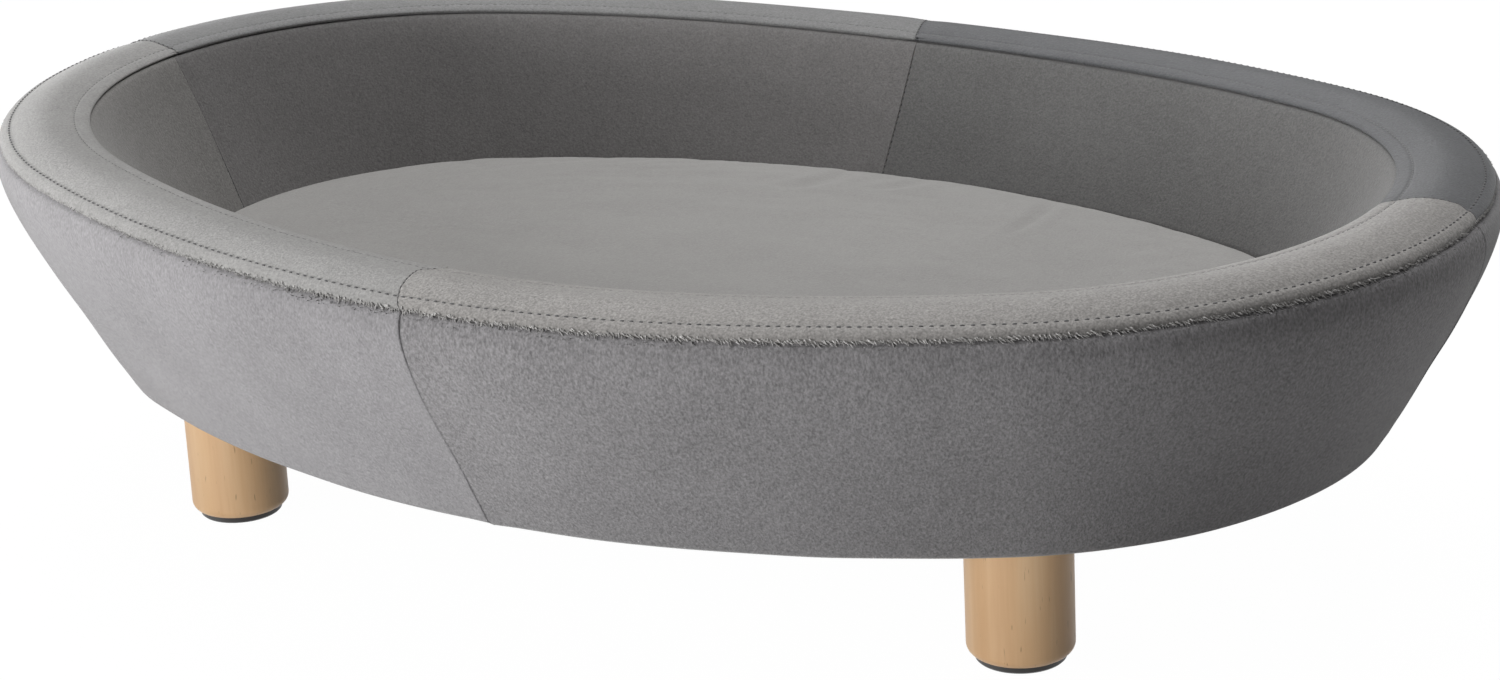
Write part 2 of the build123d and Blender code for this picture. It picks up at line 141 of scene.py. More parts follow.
# The cushion
CUSHION_LOW = 0.0841
CUSHION_CORE_INSET = 0.200
CUSHION_COLUMNS = 380
WELL_LEAN = 0.4844


def outline_arcs():
    """The rim outline's four arcs: centre x and y, radius, and where each starts and stops."""
    half_width = RIM_WIDTH / 2
    end_radius = half_width - SIDE_BOW
    end_centre = RIM_LENGTH / 2 - end_radius
    side_radius = (end_centre**2 + half_width**2 - end_radius**2) / (2 * SIDE_BOW)
    side_centre = side_radius - half_width
    join = math.degrees(math.atan2(side_centre, end_centre))
    return (
        (end_centre, 0, end_radius, -join, join),
        (0, -side_centre, side_radius, join, 180 - join),
        (-end_centre, 0, end_radius, 180 - join, 180 + join),
        (0, side_centre, side_radius, 180 + join, 360 - join),
        (end_centre, 0, end_radius, 360 - join, 360 + join),
    )


ARCS = outline_arcs()


def rim_line(directions):
    """Points of the rim outline and the ways outwards there, for directions in degrees."""
    directions = np.asarray(directions, float)
    turn = np.radians(directions)
    outwards = np.stack([np.cos(turn), np.sin(turn)], axis=-1)
    points = np.zeros(outwards.shape)
    for x, y, radius, first, last in ARCS:
        facing = (directions >= first) & (directions <= last)
        points[facing] = np.array((x, y)) + radius * outwards[facing]
    return points, outwards


def lengths_along(points):
    """How far along a line of points each of them lies."""
    steps = np.linalg.norm(np.diff(points, axis=0), axis=1)
    return np.concatenate([[0], np.cumsum(steps)])


def outline_length():
    """Directions all round, a little past both ends, and the length of outline to each."""
    fine = np.linspace(-20, 380, 8001)
    lengths = lengths_along(rim_line(fine)[0])
    return fine, lengths - np.interp(0, fine, lengths)


DIRECTIONS, LENGTHS = outline_length()


def length_at(direction):
    """How far round the outline a direction lies."""
    return np.interp(direction, DIRECTIONS, LENGTHS)


def direction_at(length):
    """The direction that lies this far round the outline."""
    return np.interp(length, LENGTHS, DIRECTIONS)


def all_round(count):
    """The directions of evenly spaced places all the way round the outline."""
    return direction_at(np.linspace(0, length_at(360), count, endpoint=False))


def raised(flat, z):
    """Flat points of a grid at their heights."""
    return np.concatenate([flat, np.broadcast_to(z, flat.shape[:2])[..., None]], axis=2)


def stood_out(directions, u, z):
    """A grid of points that stand out by u from the true outline, at the height z."""
    feet, outwards = rim_line(directions)
    return raised(feet[:, None] + outwards[:, None] * u[..., None], z)


def smooth_line(points, count, closed=False):
    """A smooth line through the points, as evenly spaced places on it."""
    points = np.asarray(points, float)
    if closed:
        points = np.concatenate([points, points[:1]])
        ends = np.concatenate([points[-2:-1], points, points[1:2]])
    else:
        ends = np.concatenate([[2 * points[0] - points[1]], points, [2 * points[-1] - points[-2]]])
    share = np.linspace(0, 1, 20, endpoint=False)[:, None]
    before, a, b, after = (ends[i : len(ends) - 3 + i, None] for i in range(4))
    fine = (
        (2 * share**3 - 3 * share**2 + 1) * a
        + (share**3 - 2 * share**2 + share) * ((b - before) / 2)
        + (3 * share**2 - 2 * share**3) * b
        + (share**3 - share**2) * ((after - a) / 2)
    )
    fine = np.concatenate([fine.reshape(-1, 2), points[-1:]])
    lengths = lengths_along(fine)
    even = np.linspace(0, lengths[-1], count, endpoint=not closed)
    return np.stack([np.interp(even, lengths, fine[:, axis]) for axis in (0, 1)], axis=1)


def waves(angle, sizes):
    """The sum of these waves at an angle round the bed."""
    total = np.zeros(np.shape(angle))
    for turns, (cosine, sine) in enumerate(sizes, start=1):
        total = total + cosine * np.cos(turns * angle) + sine * np.sin(turns * angle)
    return total


def carried(directions, section, foot_drifts):
    """A grid of points: the section of u and z at each direction, riding with the sewn rim."""
    directions = np.asarray(directions, float)
    if directions.ndim == 1:
        directions = np.repeat(directions[:, None], len(section), axis=1)
    feet, outwards = rim_line(directions)
    angle = np.arctan2(feet[..., 1], feet[..., 0])
    u = section[None, :, 0]
    z = section[None, :, 1]
    share = np.clip((z - FOOT_HEIGHT) / (SEAM_HEIGHT - FOOT_HEIGHT), 0, 1)
    share = share**2 * (3 - 2 * share)
    u = u + share * waves(angle, RIM_DRIFTS) + (1 - share) * waves(angle, foot_drifts)
    z = z + share * waves(angle, RIM_RISES)
    return raised(feet + outwards * u[..., None], z)


def grid_normals(points):
    """The way each point of a grid faces, from its neighbours."""
    along = np.gradient(points, axis=0)
    across = np.gradient(points, axis=1)
    normals = np.cross(along, across)
    return normals / np.maximum(np.linalg.norm(normals, axis=2, keepdims=True), 1e-12)


def unevenness(points, size, seed):
    """Smooth noise from -1 to 1 at each point, with swells of about this size."""
    shift = Vector((seed * 3.7, seed * 1.9, seed * 5.3))
    flat = points.reshape(-1, 3) / size
    values = [noise.noise(Vector(place) + shift) for place in flat]
    return np.array(values).reshape(points.shape[:-1])


def linked(name, data):
    """A new object in the scene."""
    made = bpy.data.objects.new(name, data)
    SCENE.collection.objects.link(made)
    return made


def riding(name, mesh, body):
    """A mesh as a piece that rides on a body."""
    piece = linked(name, mesh)
    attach(piece, body)
    return piece


def mesh_of(name, points, edges=(), faces=()):
    """A bare mesh."""
    mesh = bpy.data.meshes.new(name)
    mesh.from_pydata([tuple(point) for point in points], edges, faces)
    return mesh


def piece_of(name, vertices, faces, body, slot, material):
    """A smooth-shaded mesh piece."""
    mesh = mesh_of(name, vertices, faces=faces)
    mesh.shade_smooth()
    mesh.update()
    mesh.materials.append(material)
    return riding(name, mesh, body)


def grid_faces(columns, rows, round_columns=False, round_rows=False):
    """Quads of a grid of columns by rows."""
    faces = []
    for i in range(columns if round_columns else columns - 1):
        j = (i + 1) % columns
        for k in range(rows if round_rows else rows - 1):
            m = (k + 1) % rows
            faces.append((i * rows + k, j * rows + k, j * rows + m, i * rows + m))
    return faces


def grid_piece(name, points, body, slot, material, *closed):
    """A piece from a grid of points, closed or open along its columns and its rows."""
    faces = grid_faces(*points.shape[:2], *closed)
    return piece_of(name, points.reshape(-1, 3), faces, body, slot, material)


def thickened(piece, thickness):
    """Give a cloth piece its thickness, on its inside."""
    solid = piece.modifiers.new("thickness", "SOLIDIFY")
    solid.thickness = thickness
    solid.offset = -1


class Field:
    """A value that changes over a surface: a node's socket that Python's operators work on."""

    def __init__(self, paint, socket):
        self.paint = paint
        self.socket = socket

    def __add__(self, other):
        return self.paint.maths("ADD", self, other)

    def __sub__(self, other):
        return self.paint.maths("SUBTRACT", self, other)

    def __mul__(self, other):
        return self.paint.maths("MULTIPLY", self, other)

    def __truediv__(self, other):
        return self.paint.maths("DIVIDE", self, other)


def add_node(tree, kind, sockets=None, stops=(), **settings):
    """Add a node: its settings, a ramp's stops, and the values or links of its sockets.

    A node that stands for a socket's value links its first output.
    """
    node = tree.nodes.new(kind)
    for name, value in settings.items():
        setattr(node, name, value)
    if stops:
        ramp = node.color_ramp
        while len(ramp.elements) < len(stops):
            ramp.elements.new(0.5)
        for element, (position, shade) in zip(ramp.elements, stops):
            element.position = position
            element.color = shade
    for name, value in (sockets or {}).items():
        value = value.socket if isinstance(value, Field) else value
        value = value.outputs[0] if isinstance(value, bpy.types.Node) else value
        if isinstance(value, bpy.types.NodeSocket):
            tree.links.new(value, node.inputs[name])
        else:
            node.inputs[name].default_value = value
    return node


# How far a noise's grains are stretched along X, Y and Z
UPRIGHT = (1, 1, 1.5)
EVEN = (1, 1, 1)


class Paint:
    """A material whose look is written as expressions over the surface."""

    def __init__(self, name, roughness, **constants):
        self.material = bpy.data.materials.new(name)
        self.material.use_nodes = True
        self.tree = self.material.node_tree
        self.shader = self.tree.nodes["Principled BSDF"]
        self.shader.inputs["Roughness"].default_value = roughness
        for socket, value in constants.items():
            self.shader.inputs[socket.replace("_", " ")].default_value = value
        self.place = self.node("ShaderNodeTexCoord", output="Object")

    def node(self, kind, sockets=None, output=0, **settings):
        return Field(self, add_node(self.tree, kind, sockets, **settings).outputs[output])

    def maths(self, operation, *values):
        return self.node("ShaderNodeMath", dict(enumerate(values)), operation=operation)

    def noise(self, size, stretch=EVEN, shift=(0, 0, 0), detail=2.0, rough=0.5):
        """Noise from 0 to 1 with grains of about this size, stretched along the axes."""
        scale = [1 / (size * way) for way in stretch]
        sockets = {"Vector": self.place, "Scale": scale, "Location": shift}
        vector = self.node("ShaderNodeMapping", sockets)
        sockets = {"Vector": vector, "Scale": 1.0, "Detail": detail, "Roughness": rough}
        return self.node("ShaderNodeTexNoise", sockets)

    def height(self):
        """The height over the object's own zero, in metres."""
        return self.node("ShaderNodeSeparateXYZ", {0: self.place}, "Z")

    def between(self, low, high, field):
        """Where a field lies between two limits, from 0 to 1, eased."""
        sockets = {"Value": field, "From Min": low, "From Max": high}
        return self.node("ShaderNodeMapRange", sockets, interpolation_type="SMOOTHSTEP")

    def mix(self, share, a, b):
        """One colour turning into another."""
        sockets = {0: share, 6: opaque(a), 7: opaque(b)}
        return self.node("ShaderNodeMix", sockets, 2, data_type="RGBA")

    def ramp(self, field, *stops):
        """Colours by a field's value."""
        stops = [(position, opaque(shade)) for position, shade in stops]
        return self.node("ShaderNodeValToRGB", {0: field}, stops=stops)

    def drive(self, socket, field):
        self.tree.links.new(field.socket, self.shader.inputs[socket])

    def colour(self, field):
        self.drive("Base Color", field)

    def bump(self, height, depth, strength):
        sockets = {"Height": height, "Distance": depth, "Strength": strength}
        self.drive("Normal", self.node("ShaderNodeBump", sockets))


def opaque(shade):
    """A colour with its alpha, from three numbers, or a field as it is."""
    return shade if isinstance(shade, Field) else (*shade, 1.0)


def tint(shade, share):
    """A colour made lighter or darker."""
    return tuple(min(1.0, part * share) for part in shade)


def velvet(name, shade, streaks, seed, blotch, grain):
    """Short-pile velvet: soft patches where the nap lies over, and fine grain along its pile.

    blotch and grain are how strongly the large and the fine pattern show.
    """
    paint = Paint(name, 0.92, Sheen_Weight=0.28, Sheen_Roughness=0.45, Specular_IOR_Level=0.15)
    patch = paint.noise(0.085, shift=(seed, 0, 0), detail=3.0)
    brushed = paint.noise(0.0075, stretch=streaks, shift=(0, seed, 0))
    tuft = paint.noise(0.0017, stretch=streaks, shift=(seed, seed, 0), rough=0.6)
    fine = paint.noise(0.0010, stretch=streaks, shift=(0, 0, seed), detail=1.0)
    light = (patch - 0.5) * blotch * 2 + (brushed - 0.5) * blotch
    light = light + (tuft - 0.5) * grain + (fine - 0.5) * grain * 1.4
    share = paint.between(-0.5, 0.5, light)
    paint.colour(paint.mix(share, tint(shade, 0.50), tint(shade, 1.50)))
    paint.bump(fine * 0.45 + tuft * 0.55, 0.0006, 0.6)
    return paint.material


def thread(name, shade):
    paint = Paint(name, 0.6, Sheen_Weight=0.2)
    twist = paint.noise(0.0004, detail=1.0)
    paint.colour(paint.mix(twist, tint(shade, 0.7), tint(shade, 1.25)))
    paint.bump(twist, 0.0002, 0.6)
    return paint.material


def speckled(
    name, rough, size, tone_size, dark, light, depth, strength, detail=3.0, stretch=EVEN, **more
):
    """Fine pores, flecks or matted fibres over a broad change of tone."""
    paint = Paint(name, rough, **more)
    speck = paint.noise(size, stretch=stretch, detail=detail, rough=0.7)
    tone = paint.noise(tone_size)
    paint.colour(paint.mix(speck * 0.7 + tone * 0.3, dark, light))
    paint.bump(speck, depth, strength)
    return paint.material


def leg_wood():
    """Light turned hardwood: grain up the leg, darker pores, and a flat clear lacquer."""
    paint = Paint("leg_wood", 0.48, Coat_Weight=0.12, Coat_Roughness=0.35)
    sway = paint.noise(0.05, stretch=(1, 1, 3))
    band = paint.noise(0.010, stretch=(1, 1, 14), shift=(3, 1, 0), detail=3.0)
    fibre = paint.noise(0.0016, stretch=(1, 1, 26), detail=3.0, rough=0.6)
    pore = paint.noise(0.0014, stretch=(1, 1, 7), shift=(7, 3, 1), detail=1.0)
    pore = paint.between(0.70, 0.78, pore)
    knot = paint.noise(0.016, stretch=(1, 1, 1.3), shift=(2, 9, 4))
    knot = paint.between(0.70, 0.80, knot)
    tone = band * 0.55 + sway * 0.3 + fibre * 0.15
    dark, middle, light = (0.68, 0.405, 0.200), (0.78, 0.505, 0.275), (0.86, 0.610, 0.370)
    wood = paint.ramp(tone, (0.30, dark), (0.50, middle), (0.72, light))
    wood = paint.mix(pore * 0.55, wood, (0.30, 0.155, 0.07))
    wood = paint.mix(knot * 0.45, wood, (0.36, 0.19, 0.09))
    paint.colour(wood)
    paint.drive("Roughness", fibre * 0.2 + 0.38)
    paint.bump(fibre * 0.5 - pore * 0.8, 0.0002, 0.5)
    return paint.material


def plywood():
    """Raw plywood: rotary-cut face grain, and plies that show on the upright edges."""
    paint = Paint("plywood", 0.75)
    face = paint.noise(0.03, stretch=(5, 1, 1), detail=4.0, rough=0.6)
    fibre = paint.noise(0.002, stretch=(18, 1, 1))
    ply = paint.maths("FRACT", paint.height() / 0.0028)
    dark_ply = paint.between(0.45, 0.55, ply)
    dark, middle, light = (0.50, 0.33, 0.17), (0.64, 0.46, 0.27), (0.72, 0.55, 0.35)
    wood = paint.ramp(face * 0.7 + fibre * 0.3, (0.3, dark), (0.55, middle), (0.75, light))
    paint.colour(paint.mix(dark_ply * 0.35, wood, (0.34, 0.21, 0.10)))
    paint.bump(fibre, 0.0003, 0.5)
    return paint.material


def metal(name, shade, rough):
    paint = Paint(name, rough, Metallic=1.0)
    cloud = paint.noise(0.006, detail=3.0)
    scratch = paint.noise(0.0006, stretch=(6, 1, 1), detail=1.0)
    paint.colour(paint.mix(cloud, tint(shade, 0.82), tint(shade, 1.12)))
    paint.drive("Roughness", scratch * 0.2 + (rough - 0.1))
    paint.bump(scratch, 0.00008, 0.4)
    return paint.material


def plastic(name, shade, rough):
    """Moulded plastic with a faint texture, scuffed where it rubs."""
    paint = Paint(name, rough)
    grain = paint.noise(0.0007)
    scuff = paint.noise(0.009, stretch=(1, 1, 0.4), detail=4.0, rough=0.7)
    scuff = paint.between(0.55, 0.75, scuff)
    paint.colour(paint.mix(scuff * 0.5, shade, tint(shade, 2.2)))
    paint.drive("Roughness", grain * 0.15 + scuff * 0.2 + (rough - 0.15))
    paint.bump(grain, 0.0001, 0.5)
    return paint.material


def fibre_cloth(name, shade, size):
    """Felt or non-woven cloth: matted fibres of about this size."""
    shades = (tint(shade, 0.55), tint(shade, 1.5))
    look = (size * 0.35, 0.7, 4.0, (1, 2.2, 1))
    return speckled(name, 0.95, size, size * 25, *shades, *look, Sheen_Weight=0.1)


def woven_tape():
    """Zip tape with its fine woven ribs along Z and a flecked tone."""
    paint = Paint("zip_tape_weave", 0.85, Sheen_Weight=0.15)
    rib = paint.maths("SINE", paint.height() / 0.00012)
    fleck = paint.noise(0.0006, stretch=(3, 3, 1))
    tone = fleck * 0.7 + rib * 0.15 + 0.15
    paint.colour(paint.mix(tone, (0.055, 0.055, 0.06), (0.15, 0.15, 0.155)))
    paint.bump(rib * 0.5 + fleck * 0.5, 0.0001, 0.6)
    return paint.material


# Shades of the one velvet, by how its nap was laid in each panel, in the order of QUARTERS. They are
# painted shade and painted sheen: each panel is coloured lighter or darker to stand for how light
# falls on its laid nap and on its side of the bed.
NAP_PAINTED_SHADES = {
    "outer_cover": (
        (0.226, 0.222, 0.226), (0.240, 0.235, 0.240), (0.262, 0.255, 0.262), (0.238, 0.231, 0.236),
    ),
    "rim_cover": (
        (0.109, 0.111, 0.116), (0.200, 0.200, 0.200), (0.292, 0.287, 0.281), (0.289, 0.278, 0.268),
    ),
    "well_cover": (
        (0.145, 0.143, 0.141), (0.181, 0.175, 0.173), (0.202, 0.196, 0.189), (0.150, 0.147, 0.143),
    ),
}
PLAIN_BLOTCH = 0.10
# The nap of the front right panels was brushed up, so its grain shows more
PLAIN_GRAIN = 0.34
GRAINS = {"outer_cover_front_right": 0.54, "rim_cover_front_right": 0.50}

# Places near a panel's sewn end that get a column of their own
SEAM_ENDS = np.array((0, 0.15, 0.3, 0.45, 0.7, 1.2, 2.4, 4.5, 7.0)) / 1000
# A seam draws the cover in by a narrow tuck and by a wide one
TUCK_DEPTH = 0.0004
TUCK_REACHES = (0.0003, 0.009)
# Sizes of the cover's broad and fine swells, and the height of the fine beside the broad
BROAD_SWELL = 0.16
FINE_SWELL = 0.05
FINE_SHARE = 0.35
# Rows over which the swells and tucks fade towards a section's ends
FADE_ROWS = 4


def seam_columns(length):
    """Places along a panel, close together at its sewn ends and even between."""
    count = PANEL_COLUMNS - 2 * len(SEAM_ENDS) + 2
    middle = np.linspace(SEAM_ENDS[-1], length - SEAM_ENDS[-1], count)[1:-1]
    return np.concatenate([SEAM_ENDS, middle, (length - SEAM_ENDS)[::-1]])


def cover_grid(quarter, section, rows, strays, swell, foot_drifts, seed):
    """One sewn quarter of the cover, with its seam edges turned in, and the section's line."""
    start, stop = QUARTERS[quarter]
    line = smooth_line(section, rows)
    share = np.linspace(0, 1, rows)
    knots = np.linspace(0, 1, 4)
    first, last = (
        length_at(seam) + np.interp(share, knots, np.array(strays[seam % 360]) / 1000)
        for seam in (start, stop)
    )
    length = length_at(stop) - length_at(start)
    along = seam_columns(length)
    places = first[None] + (last - first)[None] * (along / length)[:, None]
    points = carried(direction_at(places), line, foot_drifts)
    near = np.minimum(along, length - along)[:, None]
    tuck = sum(TUCK_DEPTH * np.exp(-((near / reach) ** 2)) for reach in TUCK_REACHES)
    broad = swell * unevenness(points, BROAD_SWELL, seed)
    fine = swell * FINE_SHARE * unevenness(points, FINE_SWELL, seed + 1)
    edge = np.minimum(np.arange(rows), rows - 1 - np.arange(rows))[None]
    move = (broad + fine - tuck) * np.clip(edge / FADE_ROWS, 0, 1)
    return points + grid_normals(points) * move[..., None], line


def foam_ring(name, section, foot_drifts):
    """A strip of foam all the way round the wall."""
    line = smooth_line(section, FOAM_ROWS, closed=True)
    points = carried(all_round(FOAM_COLUMNS), line, foot_drifts)
    piece = grid_piece(name, points, "bed", "foam", FOAM, True, True)
    return piece


FOAM = speckled(
    "upholstery_foam", 0.95, 0.0014, 0.04, (0.62, 0.58, 0.45), (0.84, 0.81, 0.70), 0.0009, 0.8
)
# By kind of cover: its CAD nodes' first words, its grain's stretch, section, rows, seams' strays,
# swell and drifts at the foot
COVERS = {
    "outer_cover": (
        "outer_panel", UPRIGHT, OUTER_SECTION, OUTER_ROWS, OUTER_SEAM_STRAYS, 0.0010, FOOT_DRIFTS,
    ),
    "rim_cover": ("rim_panel", EVEN, RIM_SECTION, RIM_ROWS, RIM_SEAM_STRAYS, 0.0005, ()),
    "well_cover": ("inner_panel", EVEN, WELL_SECTION, WELL_ROWS, WELL_SEAM_STRAYS, 0.0008, ()),
}
grids = {}
for place, (kind, (node, streaks, *drawn)) in enumerate(COVERS.items()):
    for number, (quarter, shade) in enumerate(zip(QUARTERS, NAP_PAINTED_SHADES[kind])):
        seed = 10 * place + 3 * number + 11
        name = f"{kind}_{quarter}"
        points, line = cover_grid(quarter, *drawn, seed)
        grain = GRAINS.get(name, PLAIN_GRAIN)
        finish = name.replace("cover", "velvet")
        # Each panel's copy of the velvet carries its painted shade
        material = velvet(finish, shade, streaks, seed * 0.37, PLAIN_BLOTCH, grain)
        piece = grid_piece(name, points, "bed", "velvet", material)
        thickened(piece, VELVET)
        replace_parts(piece, f"{node}_{quarter}")
        grids[kind, quarter] = (points, line)

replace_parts(foam_ring("outer_foam", OUTER_FOAM, FOOT_DRIFTS), "outer_padding")
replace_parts(foam_ring("well_foam", WELL_FOAM, ()), "inner_padding")
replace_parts(foam_ring("rim_foam", RIM_FOAM, ()), "rim_padding")

# The cushion's section: up its drawn-in side, over its rounded edge and onto its crown
SIDE_FOOT_U = -0.1131
SIDE_DRAWS = tenths(
    (841, 60), (846, 30), (862, 12), (900, 6), (960, 10), (1020, 12), (1065, 8), (1084, 14),
    (1091, 30),
)
TOP_EDGE = tenths(
    (-1048, 1092), (-1014, 1101), (-980, 1130), (-960, 1166), (-957, 1196), (-972, 1219),
    (-1010, 1234), (-1140, 1249), (-1450, 1260), (-2000, 1268),
)
# The filling's section, from its underside to its top
CORE_FOAM = tenths(
    (-2000, 860), (-1350, 860), (-1180, 862), (-1150, 880), (-1125, 935), (-1110, 1040),
    (-1060, 1110), (-1035, 1160), (-1060, 1190), (-1130, 1206), (-1350, 1226), (-2000, 1238),
)
# How the soft top leans towards the wall at the back and the left, as waves round the bed.
# The lean comes in over this height above the band and dies out over this width of the crown
TOP_DRIFTS = ((-0.0020, 0.0020),)
DRIFT_RISE = 0.006
DRIFT_FADE = 0.08
# Rows of the base's rim, the band, the top's edge and middle, and the filling
BASE_ROWS = 12
BAND_ROWS = 22
TOP_ROWS = 62
MIDDLE_ROWS = 18
CORE_ROWS = 40
# Where the base's edge starts to rise, and the rows from there in to the spine
BASE_FLAT_U = -0.150
BASE_SPINE_ROWS = 8
CORE_SPINE_ROWS = 6
# Swells of the top, each by its height, size and seed. They start after this many rows and
# come in over this many
TOP_SWELLS = ((0.0011, 0.11, 5), (0.0004, 0.035, 6))
SWELL_ROWS = (8, 20)
CUSHION_SHADE = (0.297, 0.290, 0.282)
CUSHION_BLOTCH = 0.05
CUSHION_GRAIN = 0.16
SPINE = RIM_LENGTH / 2 - (RIM_WIDTH / 2 - SIDE_BOW)
# The zip's opening in the back of the band, as directions and heights
ZIP_START = 67.73
ZIP_STOP = 112.27
ZIP_ROOM = 0.70
ZIP_LOW = 0.0937
ZIP_HIGH = 0.1045
# Soft creases in the top: where each runs from and to, how wide and how deep
CREASES = (
    ((0.109, 0.168), (0.116, 0.086), 0.0032, 0.0012),
    ((-0.018, 0.180), (-0.034, 0.128), 0.0060, 0.0014),
    ((0.030, 0.178), (0.012, 0.140), 0.0050, 0.0010),
    ((-0.246, 0.118), (-0.205, 0.092), 0.0060, 0.0010),
    ((0.205, 0.120), (0.160, 0.070), 0.0070, 0.0006),
)


def placed(directions, section, drifts=()):
    """A grid of points: the section of u and z in each direction round the true outline."""
    feet = rim_line(directions)[0]
    u, z = section.T
    share = np.clip((z - TOP_EDGE[0][1]) / DRIFT_RISE, 0, 1)
    share = share * np.clip((u + CUSHION_CORE_INSET) / DRIFT_FADE, 0, 1)
    drift = waves(np.arctan2(feet[:, 1], feet[:, 0]), drifts)
    return stood_out(directions, u[None] + drift[:, None] * share, z)


def to_spine(directions, height, rows):
    """Rows that run from the cushion's core outline in to its spine."""
    feet, outwards = rim_line(directions)
    core = feet - outwards * CUSHION_CORE_INSET
    spine = np.stack([np.clip(core[:, 0], -SPINE, SPINE), np.zeros(len(core))], axis=1)
    share = np.linspace(0, 1, rows + 1)[1:][None, :, None]
    return raised(core[:, None] * (1 - share) + spine[:, None] * share, height)


def merged(piece):
    """Join points that lie on each other, which closes a pole or a spine."""
    shape = bmesh.new()
    shape.from_mesh(piece.data)
    bmesh.ops.remove_doubles(shape, verts=shape.verts, dist=0.00002)
    bmesh.ops.recalc_face_normals(shape, faces=shape.faces)
    shape.to_mesh(piece.data)
    shape.free()
    piece.data.shade_smooth()


def creased(points):
    """Press the soft creases into the cushion's top."""
    moved = points.copy()
    for (x1, y1), (x2, y2), width, depth in CREASES:
        way = np.array((x2 - x1, y2 - y1))
        reach = np.linalg.norm(way)
        way = way / reach
        offset = points[..., :2] - np.array((x1, y1))
        along = offset @ way
        bow = 0.004 * np.sin(along / reach * math.pi)
        off = np.abs(offset @ np.array((-way[1], way[0])) - bow)
        fade = np.clip(np.minimum(along, reach - along) / (reach * 0.35), 0, 1)
        ridge = np.exp(-((off / width - 1.8) ** 2)) * 0.45
        moved[..., 2] += fade * depth * (ridge - np.exp(-((off / width) ** 2)))
    return moved


CLOTH_FRAMES = 12
# How far a point of the settled cloth may move, and the share of the move that is kept
CLOTH_REACH = 0.0035
CLOTH_SHARE = 0.22
# How high the sewn edge that holds the cloth reaches
SEWN_EDGE = 0.004
CLOTH_SETTINGS = {
    "quality": 4, "mass": 0.3, "tension_stiffness": 12, "compression_stiffness": 12,
    "shear_stiffness": 5, "bending_stiffness": 0.6, "vertex_group_mass": "sewn_edge",
    "use_pressure": True, "uniform_pressure_force": 0.6, "shrink_min": -0.012,
}


def cushion_cloth(piece, edge_points):
    """Let the top cloth swell and settle over its filling, held along its sewn edge."""
    held = piece.vertex_groups.new(name="sewn_edge")
    held.add(edge_points, 1.0, "REPLACE")
    cloth = piece.modifiers.new("cloth", "CLOTH")
    for name, value in CLOTH_SETTINGS.items():
        setattr(cloth.settings, name, value)
    cloth.settings.effector_weights.gravity = 0
    cloth.point_cache.frame_start = 1
    cloth.point_cache.frame_end = CLOTH_FRAMES
    rest = np.array([v.co for v in piece.data.vertices])
    for step in range(1, CLOTH_FRAMES + 1):
        SCENE.frame_set(step)
    settled = piece.evaluated_get(bpy.context.evaluated_depsgraph_get()).to_mesh()
    moved = np.array([v.co for v in settled.vertices]) - rest
    piece.modifiers.remove(cloth)
    far = np.linalg.norm(moved, axis=1, keepdims=True)
    moved = moved * CLOTH_SHARE * np.minimum(1, CLOTH_REACH / np.maximum(far, 1e-9))
    piece.data.vertices.foreach_set("co", (rest + moved).astype(np.float32).ravel())
    piece.data.update()
    SCENE.frame_set(1)


def cushion():
    """The loose cushion's cover: base, band with the zip's opening, and crowned top."""
    directions = all_round(CUSHION_COLUMNS)
    cloth = velvet("cushion_velvet", CUSHION_SHADE, EVEN, 4.1, CUSHION_BLOTCH, CUSHION_GRAIN)
    finish = ("cushion", "cushion_velvet", cloth)
    side = [(SIDE_FOOT_U + (z - CUSHION_LOW) * WELL_LEAN - draw, z) for z, draw in SIDE_DRAWS]

    flat = ((-CUSHION_CORE_INSET, CUSHION_LOW), (BASE_FLAT_U, CUSHION_LOW), side[0])
    edge = placed(directions, smooth_line(flat, BASE_ROWS))
    middle = to_spine(directions, CUSHION_LOW, BASE_SPINE_ROWS)[:, ::-1]
    base = grid_piece("cushion_base", np.concatenate([middle, edge], axis=1), *finish, True)
    merged(base)

    points = placed(directions, smooth_line(side, BAND_ROWS))
    vertices = points.reshape(-1, 3)
    faces = []
    for face in grid_faces(CUSHION_COLUMNS, BAND_ROWS, True):
        direction = directions[face[0] // BAND_ROWS]
        high = vertices[list(face)].mean(axis=0)[2]
        if not (ZIP_START - ZIP_ROOM < direction < ZIP_STOP and ZIP_LOW < high < ZIP_HIGH):
            faces.append(face)
    band = piece_of("cushion_band_cover", vertices, faces, *finish)

    edge = smooth_line(TOP_EDGE, TOP_ROWS)
    middle = to_spine(directions, edge[-1, 1], MIDDLE_ROWS)
    points = creased(np.concatenate([placed(directions, edge, TOP_DRIFTS), middle], axis=1))
    swell = sum(rise * unevenness(points, size, seed) for rise, size, seed in TOP_SWELLS)
    share = np.clip((np.arange(points.shape[1]) - SWELL_ROWS[0]) / SWELL_ROWS[1], 0, 1)
    points[..., 2] += swell * share[None]
    top = grid_piece("cushion_top", points, *finish, True)
    merged(top)
    sewn = min(v.co.z for v in top.data.vertices) + SEWN_EDGE
    cushion_cloth(top, [v.index for v in top.data.vertices if v.co.z < sewn])

    nodes = {base: "cushion_base_panel", band: "cushion_band", top: "cushion_top_panel"}
    for piece, node in nodes.items():
        thickened(piece, VELVET)
        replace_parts(piece, node)

    directions = directions[::2]
    below = to_spine(directions, CORE_FOAM[0][1], CORE_SPINE_ROWS)[:, ::-1]
    above = to_spine(directions, CORE_FOAM[-1][1], CORE_SPINE_ROWS)
    around = placed(directions, smooth_line(CORE_FOAM, CORE_ROWS))
    points = np.concatenate([below, around, above], axis=1)
    core = grid_piece("cushion_foam", points, "cushion", "foam", FOAM, True)
    merged(core)
    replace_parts(core, "cushion_filling")


cushion()


